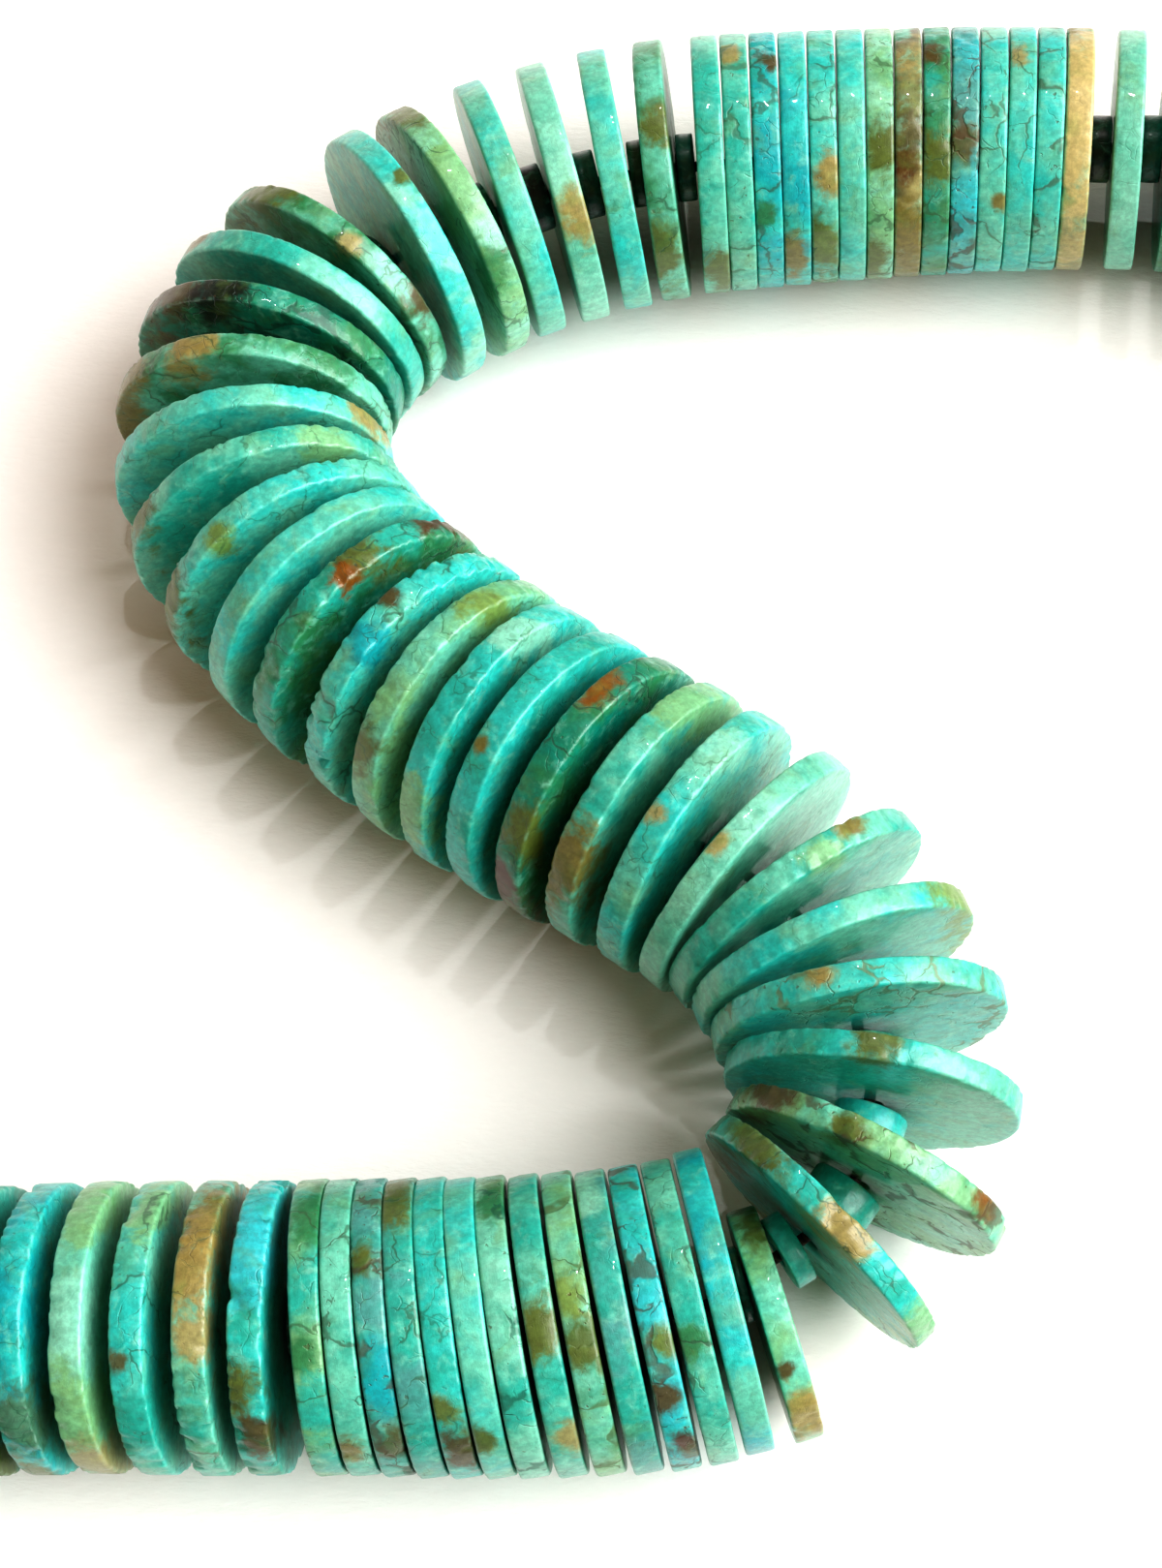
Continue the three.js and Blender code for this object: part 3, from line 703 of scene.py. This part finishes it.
def turquoise(settings):
    """Polished turquoise: clouds of two tones, soft mottling, patches, and matrix in broken lines."""
    material, graph = new_material("turquoise")

    def attribute(name, output):
        return graph.add("ShaderNodeAttribute", {"attribute_name": name}).out(output)

    grain = attribute("grain", "Vector")
    warp = graph.noise(grain, 0.45, 3.0).out("Color") - (0.5, 0.5, 0.5)
    stirred = grain + warp * 2.4
    cloud = graph.step(graph.noise(stirred, 0.2, 3.0, 0.6), 0.36, 0.64)
    colour = graph.blend(cloud, attribute("tone", "Color"), attribute("second_tone", "Color"))

    flecks = graph.step(graph.noise(stirred + (3, 1, 8), 0.8, 4.0, 0.6), 0.5, 0.78)
    colour = graph.blend(flecks * 0.6, colour, rgba(STONE["pale_mint"]))
    depths = graph.step(graph.noise(stirred + (11, 4, 2), 0.55, 5.0, 0.65), 0.48, 0.78)
    colour = graph.blend(depths * 0.5, colour, rgba(STONE["teal"]))

    ragged = (graph.noise(stirred, 0.55, 5.0, 0.65) - 0.5) * 2.2
    spotting = graph.noise(grain, 1.4, 4.0, 0.65)
    for n in range(MOST_PATCHES):
        inside = graph.step(attribute(f"patch_{n + 1}", "Fac") + ragged, -0.2, 0.55)
        tone = attribute(f"patch_{n + 1}_tone", "Color")
        shaded = graph.blend(graph.step(spotting, 0.5, 0.8) * 0.4, tone, rgba(STONE["brown"]))
        colour = graph.blend(inside * 0.95, colour, shaded)

    stain = graph.step(graph.noise(stirred + (7, 7, 2), 0.3, 4.0, 0.6), 0.52, 0.72)
    colour = graph.blend(stain * 0.35, colour, rgba(STONE["yellow_green"]))
    dapple = graph.step(graph.noise(grain + (6, 3, 1), 1.9, 4.0, 0.7), 0.35, 0.7)
    colour = graph.blend(0.5, colour, colour * (dapple * 0.6 + 0.68))

    # Paler edges where rim meets face: partly edge wear, partly a painted highlight on the bevels.
    rim = attribute("rim", "Vector")
    inset, below = (graph.add("ShaderNodeSeparateXYZ", {}, {0: rim}, output=i) for i in range(2))
    edge_wear_and_highlight = (1.0 - graph.step(inset, 0.05, 0.4)) * (1.0 - graph.step(below, 0.05, 0.3))
    colour = graph.blend(edge_wear_and_highlight * graph.step(spotting, 0.42, 0.66) * 0.22, colour, rgba(STONE["pale_mint"]))

    veins = attribute("veins", "Fac")
    strong = veins * veins
    broken = graph.step(graph.noise(grain + (2, 6, 4), 0.3, 2.0), 0.46, 0.64)
    width = broken * strong * settings.vein_width
    wall = graph.cracks(grain + warp * 3.2, 0.24)
    vein = 1.0 - graph.step(wall, width * 0.3, width * 1.6 + 0.002)
    fine_wall = graph.cracks(grain + warp * 1.8 + (9, 9, 9), 0.55)
    fine = (1.0 - graph.step(fine_wall, 0.006, 0.035)) * graph.step(
        graph.noise(grain + (8, 2, 5), 0.42, 2.0), 0.5, 0.66
    )
    matrix = graph.blend(strong, rgba(STONE["deep_teal"]), attribute("matrix_tone", "Color"))
    halo = (1.0 - graph.step(wall, 0.0, width * 4.0 + 0.05)) * broken * veins
    colour = graph.blend(halo * 0.4, colour, rgba(STONE["green"]))
    colour = graph.blend(vein * graph.step(strong, 0.0, 0.25) * 0.6, colour, matrix)
    colour = graph.blend(fine * veins * 0.4, colour, matrix)
    specks = graph.step(graph.noise(grain, 2.2, 2.0), 0.66, 0.76) * veins
    colour = graph.blend(specks * 0.7, colour, rgba(STONE["brown"]))

    lines = graph.larger(vein * strong, graph.larger(fine * veins, specks))
    scratches = graph.noise(grain * (1.0, 1.0, 6.0), 1.6, 4.0, 0.7)
    roughness = settings.roughness + lines * 0.25 + (scratches - 0.5) * 0.25
    relief = graph.noise(grain, 1.1, 5.0, 0.65) * 0.5 + scratches * 0.25 - lines * 0.9
    shader = graph.add(
        "ShaderNodeBsdfPrincipled",
        {},
        {
            "Base Color": colour,
            "Roughness": roughness,
            "Normal": bump(graph, relief, settings.relief),
            "Coat Weight": 0.25,
            "Coat Roughness": 0.05,
            "IOR": 1.5,
        },
    )
    finish_material(graph, shader)
    return material


def cotton():
    """Waxed thread with a slanting twist."""
    material, graph = new_material("waxed thread")
    place = graph.add("ShaderNodeTexCoord").out("Object")
    twist = graph.add(
        "ShaderNodeTexWave",
        {"wave_type": "BANDS", "bands_direction": "DIAGONAL"},
        {"Vector": place, "Scale": 900.0, "Distortion": 1.0},
    ).out("Fac")
    colour = graph.blend(twist, rgba((0.16, 0.14, 0.11)), rgba((0.34, 0.30, 0.23)))
    shader = graph.add(
        "ShaderNodeBsdfPrincipled",
        {},
        {"Base Color": colour, "Roughness": 0.7, "Normal": bump(graph, twist, 0.05 * MM)},
    )
    finish_material(graph, shader)
    return material


def silver():
    """Brushed grey metal with fine turning lines and a little dulling."""
    material, graph = new_material("brushed clasp metal")
    place = graph.add("ShaderNodeTexCoord").out("Object")
    lines = graph.noise(place * (4000.0, 60.0, 60.0), 1.0, 3.0, 0.7)
    dull = graph.step(graph.noise(place, 260.0, 3.0), 0.4, 0.7)
    colour = graph.blend(dull, rgba((0.74, 0.75, 0.76)), rgba((0.55, 0.56, 0.57)))
    shader = graph.add(
        "ShaderNodeBsdfPrincipled",
        {},
        {
            "Base Color": colour,
            "Metallic": 1.0,
            "Roughness": 0.24 + lines * 0.2,
            "Normal": bump(graph, lines, 0.01 * MM),
        },
    )
    finish_material(graph, shader)
    return material


def paper(settings):
    """Bright, slightly fibrous paper."""
    material, graph = new_material("paper")
    place = graph.add("ShaderNodeTexCoord").out("Object")
    slanted = graph.add(
        "ShaderNodeMapping", {}, {"Vector": place, "Rotation": (0, 0, 0.9), "Scale": (1.0, 3.2, 1.0)}
    )
    fibres = graph.noise(slanted, 420.0, 6.0, 0.65)
    colour = graph.blend(fibres * 0.5, rgba(settings.paper_colour), rgba((0.93, 0.935, 0.935)))
    shader = graph.add(
        "ShaderNodeBsdfPrincipled",
        {},
        {
            "Base Color": colour,
            "Roughness": 0.9,
            "Specular IOR Level": 0.2,
            "Normal": bump(graph, fibres, 0.12 * MM),
        },
    )
    finish_material(graph, shader)
    return material


# ---------------------------------------------------------------- settings


class NecklaceBeadSettings(bpy.types.PropertyGroup):
    """Sizes of the discs and spacers."""

    segments: IntProperty(name="Segments", description="Sides round a visible disc", default=208, min=24)
    plain_segments: IntProperty(
        name="Plain segments", description="Sides round a disc of the plain stretch", default=72, min=24
    )
    hole_share: FloatProperty(
        name="Hole", description="Thread hole against the disc's radius", default=0.09, subtype="FACTOR"
    )
    edge: FloatProperty(
        name="Edge rounding", description="Rounding across the face, against the radius", default=0.022
    )
    height_edge: FloatProperty(
        name="Rim rounding", description="Rounding across the rim, against the half thickness", default=0.24
    )
    unevenness: FloatProperty(
        name="Unevenness", description="How far a rim leaves a circle", default=0.16 * MM, unit="LENGTH"
    )
    nibble: FloatProperty(
        name="Nibble depth", description="Depth of the small bites in a rim", default=0.5 * MM, unit="LENGTH"
    )
    chip: FloatProperty(
        name="Chip depth", description="Depth of the larger chips", default=0.35 * MM, unit="LENGTH"
    )
    face: FloatProperty(
        name="Face unevenness", description="How far a face leaves a plane", default=0.04 * MM, unit="LENGTH"
    )
    spacer_segments: IntProperty(
        name="Spacer segments", description="Sides round a spacer", default=48, min=12
    )


class NecklaceFinishSettings(bpy.types.PropertyGroup):
    """The look of the stone."""

    roughness: FloatProperty(
        name="Roughness", description="Roughness of the polished stone", default=0.33, subtype="FACTOR"
    )
    vein_width: FloatProperty(
        name="Vein width", description="Width of the dark lines, against the size of a cell", default=0.1
    )
    relief: FloatProperty(
        name="Relief", description="Depth of scratches and pits", default=0.06 * MM, unit="LENGTH"
    )


class NecklaceStageSettings(bpy.types.PropertyGroup):
    """Floor, lamps and camera."""

    paper_colour: FloatVectorProperty(
        name="Paper", description="Colour of the paper", default=(0.97, 0.97, 0.965), subtype="COLOR"
    )
    floor_size: FloatProperty(
        name="Floor size", description="Side of the floor", default=8.0, unit="LENGTH"
    )
    sky_strength: FloatProperty(name="Sky", description="Strength of the even light", default=0.25)
    window_power: FloatProperty(name="Window", description="Strength of the large soft light", default=4.35)
    window_angle: FloatProperty(
        name="Window width",
        description="How wide the soft light looks",
        default=math.radians(62),
        subtype="ANGLE",
    )
    lamp_power: FloatProperty(name="Lamp", description="Power of the small lamp", default=0.27)
    aim: FloatVectorProperty(
        name="Aim", description="Where the camera looks", default=(-0.00376, 0.01646, 0.008), subtype="XYZ"
    )
    distance: FloatProperty(
        name="Distance", description="From the camera to the aim", default=0.22, unit="LENGTH"
    )
    lens: FloatProperty(name="Lens", description="Focal length on a 36 mm high sensor", default=69.95)


# ---------------------------------------------------------------- operators


def settle(thing, nodes):
    """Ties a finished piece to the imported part."""
    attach(thing, BODY)
    if nodes:
        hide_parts(*nodes)


def beads_piece(context, name, beads, blank):
    """Grows the beads of one piece from a blank and paints them."""
    settings = context.scene.necklace_beads
    thing = string_object(name, beads)
    mesh = grow(
        thing,
        shared_tree(),
        {
            "Blank": blank,
            "Unevenness": settings.unevenness,
            "Nibble Depth": settings.nibble,
            "Chip Depth": settings.chip,
            "Face Unevenness": settings.face,
            "Material": shared_material(context),
        },
    )
    paint(mesh, beads)
    return thing


def shared_tree():
    return bpy.data.node_groups.get("string of beads") or bead_tree()


def shared_material(context):
    return bpy.data.materials.get("turquoise") or turquoise(context.scene.necklace_finish)


def disc_blank(context, segments, name):
    settings = context.scene.necklace_beads
    profile = ring_profile(
        settings.hole_share, settings.edge, settings.height_edge, BLANK_FACE_RINGS, 3, 3
    )
    return turned(name, profile, segments)


class NECKLACE_OT_loose_discs(bpy.types.Operator):
    """Make the discs that stand apart, one piece for each"""

    bl_idname = "necklace.loose_discs"
    bl_label = "Loose discs"

    def execute(self, context):
        blank = disc_blank(context, context.scene.necklace_beads.segments, "blank")
        for node in LOOSE_NEAR + LOOSE_MIDDLE + LOOSE_FAR:
            beads = [bead for bead in BEADS if bead["node"] == node]
            piece = beads_piece(context, node.replace("disc", "turquoise_disc"), beads, blank)
            settle(piece, [node])
        bpy.data.objects.remove(blank)
        return {"FINISHED"}


class NECKLACE_OT_stacks(bpy.types.Operator):
    """Make the two stacks of discs that lie close together"""

    bl_idname = "necklace.stacks"
    bl_label = "Stacks"

    def execute(self, context):
        blank = disc_blank(context, context.scene.necklace_beads.segments, "blank")
        for node in STACKS:
            beads = [bead for bead in BEADS if bead["node"] == node]
            piece = beads_piece(context, node.replace("stack", "turquoise_stack"), beads, blank)
            settle(piece, [node])
        bpy.data.objects.remove(blank)
        return {"FINISHED"}


class NECKLACE_OT_plain_stretch(bpy.types.Operator):
    """Make the discs of the stretch on both sides of the clasp"""

    bl_idname = "necklace.plain_stretch"
    bl_label = "Plain stretch"

    def execute(self, context):
        blank = disc_blank(context, context.scene.necklace_beads.plain_segments, "blank")
        for node in HIDDEN:
            beads = [bead for bead in BEADS if bead["node"] == node]
            piece = beads_piece(context, node.replace("hidden", "turquoise_run"), beads, blank)
            settle(piece, [node])
        bpy.data.objects.remove(blank)
        return {"FINISHED"}


class NECKLACE_OT_spacers(bpy.types.Operator):
    """Make the small tube beads between the discs"""

    bl_idname = "necklace.spacers"
    bl_label = "Spacers"

    def execute(self, context):
        profile = ring_profile(0.3, 0.1, 0.16, (0.6,), 3, 3)
        blank = turned("blank", profile, context.scene.necklace_beads.spacer_segments)
        seen = [s for s in SPACERS if s["node"] not in HIDDEN]
        unseen = [s for s in SPACERS if s["node"] in HIDDEN]
        piece = beads_piece(context, "spacer_beads", seen, blank)
        settle(piece, STRANDS)
        piece = beads_piece(context, "spacer_beads_run", unseen, blank)
        settle(piece, [])
        bpy.data.objects.remove(blank)
        return {"FINISHED"}


class NECKLACE_OT_thread(bpy.types.Operator):
    """Run the thread through every hole and into both ends of the clasp"""

    bl_idname = "necklace.thread"
    bl_label = "Thread"

    def execute(self, context):
        first_after_clasp = next(i for i, bead in enumerate(BEADS) if bead["node"] == HIDDEN[5])
        order = BEADS[first_after_clasp:] + BEADS[:first_after_clasp]
        low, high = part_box("clasp")
        clasp = np.array((low + high) / 2)
        points = [clasp] + [bead["hole"] for bead in order] + [clasp]
        curve = bpy.data.curves.new("thread", "CURVE")
        curve.dimensions = "3D"
        curve.bevel_depth = THREAD_RADIUS
        curve.bevel_resolution = 3
        spline = curve.splines.new("POLY")
        spline.points.add(len(points) - 1)
        spline.points.foreach_set("co", np.ravel([(*p, 1.0) for p in points]))
        rope = bpy.data.objects.new("thread_curve", curve)
        bpy.context.scene.collection.objects.link(rope)
        bpy.context.view_layer.update()
        evaluated = rope.evaluated_get(bpy.context.evaluated_depsgraph_get())
        mesh = bpy.data.meshes.new_from_object(evaluated)
        bpy.data.objects.remove(rope)
        mesh.materials.clear()
        mesh.materials.append(cotton())
        thing = bpy.data.objects.new("thread", mesh)
        bpy.context.scene.collection.objects.link(thing)
        settle(thing, [])
        return {"FINISHED"}


class NECKLACE_OT_clasp(bpy.types.Operator):
    """Make the plain barrel clasp"""

    bl_idname = "necklace.clasp"
    bl_label = "Clasp"

    def execute(self, context):
        low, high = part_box("clasp")
        centre = (low + high) / 2
        profile = [(r * MM, z * MM) for r, z in CLASP_PROFILE]
        thing = turned("clasp_barrel", profile, CLASP_SIDES)
        mesh = thing.data
        mesh.attributes.remove(mesh.attributes["local"])
        beside = [b for b in BEADS if b["node"] in (HIDDEN[4], HIDDEN[5])]
        beside.sort(key=lambda b: np.linalg.norm(b["hole"] - np.array(centre)))
        way = Vector(beside[0]["hole"] - beside[1]["hole"])
        turn = way.to_track_quat("Z", "Y").to_matrix().to_4x4()
        turn.translation = centre
        mesh.transform(turn)
        mesh.polygons.foreach_set("use_smooth", [True] * len(mesh.polygons))
        mesh.materials.append(silver())
        settle(thing, ["clasp"])
        return {"FINISHED"}


class NECKLACE_OT_stage(bpy.types.Operator):
    """Lay the paper, hang the lamps and set the camera"""

    bl_idname = "necklace.stage"
    bl_label = "Stage"

    def execute(self, context):
        settings = context.scene.necklace_stage
        half = settings.floor_size / 2
        mesh = bpy.data.meshes.new("paper_floor")
        corners = [(-half, -half, 0), (half, -half, 0), (half, half, 0), (-half, half, 0)]
        mesh.from_pydata(corners, [], [(0, 1, 2, 3)])
        mesh.materials.append(paper(settings))
        floor = bpy.data.objects.new("paper_floor", mesh)
        context.scene.collection.objects.link(floor)

        context.scene.world = soft_sky(settings)

        aim = Vector(settings.aim)
        window = bpy.data.lights.new("window", "SUN")
        window.energy = settings.window_power
        window.angle = settings.window_angle
        hang(context, window, aim, Vector(WINDOW_DIRECTION), 1.0)
        small = bpy.data.lights.new("small_lamp", "AREA")
        small.energy = settings.lamp_power
        small.size = LAMP_SIZE
        hang(context, small, aim, Vector(LAMP_DIRECTION), LAMP_DISTANCE)

        camera_data = bpy.data.cameras.new("camera")
        camera_data.sensor_fit = "VERTICAL"
        camera_data.sensor_height = SENSOR_HEIGHT
        camera_data.lens = settings.lens
        camera_data.clip_start = 0.01
        camera = bpy.data.objects.new("camera", camera_data)
        back = Vector((0.0, -math.cos(FRONT_RISE), math.sin(FRONT_RISE)))
        camera.location = aim + back * settings.distance
        camera.rotation_euler = back.to_track_quat("Z", "Y").to_euler()
        context.scene.collection.objects.link(camera)
        context.scene.camera = camera
        context.scene.view_settings.view_transform = "Standard"
        context.scene.view_settings.look = "High Contrast"
        return {"FINISHED"}


def soft_sky(settings):
    """Pale at the horizon and a little warm above it."""
    world = bpy.data.worlds.new("soft sky")
    world.use_nodes = True
    world.node_tree.nodes.clear()
    graph = Graph(world.node_tree)
    direction = graph.add("ShaderNodeTexCoord").out("Generated")
    rise = graph.add("ShaderNodeSeparateXYZ", {}, {0: direction}, output=2)
    colour = graph.blend(graph.step(rise, 0.2, 0.5), HORIZON_COLOUR, SKY_COLOUR)
    sky = graph.add("ShaderNodeBackground", {}, {"Color": colour, "Strength": settings.sky_strength})
    graph.add("ShaderNodeOutputWorld", {}, {"Surface": sky})
    return world


def hang(context, lamp, aim, direction, distance):
    """Puts a lamp in this direction from the aim, turned towards it."""
    thing = bpy.data.objects.new(lamp.name, lamp)
    thing.location = aim + direction.normalized() * distance
    thing.rotation_euler = direction.to_track_quat("Z", "Y").to_euler()
    context.scene.collection.objects.link(thing)


class NECKLACE_PT_panel(bpy.types.Panel):
    """Lists the steps in the sidebar"""

    bl_idname = "NECKLACE_PT_panel"
    bl_label = "Turquoise necklace"
    bl_space_type = "VIEW_3D"
    bl_region_type = "UI"
    bl_category = "Necklace"

    def draw(self, context):
        for operator in OPERATORS:
            self.layout.operator(operator.bl_idname)


OPERATORS = (
    NECKLACE_OT_stage,
    NECKLACE_OT_loose_discs,
    NECKLACE_OT_stacks,
    NECKLACE_OT_plain_stretch,
    NECKLACE_OT_spacers,
    NECKLACE_OT_thread,
    NECKLACE_OT_clasp,
)
SETTINGS = {
    "necklace_beads": NecklaceBeadSettings,
    "necklace_finish": NecklaceFinishSettings,
    "necklace_stage": NecklaceStageSettings,
}


def register():
    for kind in (*SETTINGS.values(), *OPERATORS, NECKLACE_PT_panel):
        bpy.utils.register_class(kind)
    for name, kind in SETTINGS.items():
        setattr(bpy.types.Scene, name, PointerProperty(type=kind))


def unregister():
    for name in SETTINGS:
        delattr(bpy.types.Scene, name)
    for kind in reversed((*SETTINGS.values(), *OPERATORS, NECKLACE_PT_panel)):
        bpy.utils.unregister_class(kind)


def main():
    register()
    for operator in OPERATORS:
        group, name = operator.bl_idname.split(".")
        getattr(getattr(bpy.ops, group), name)()


if __name__ == "__main__":
    main()
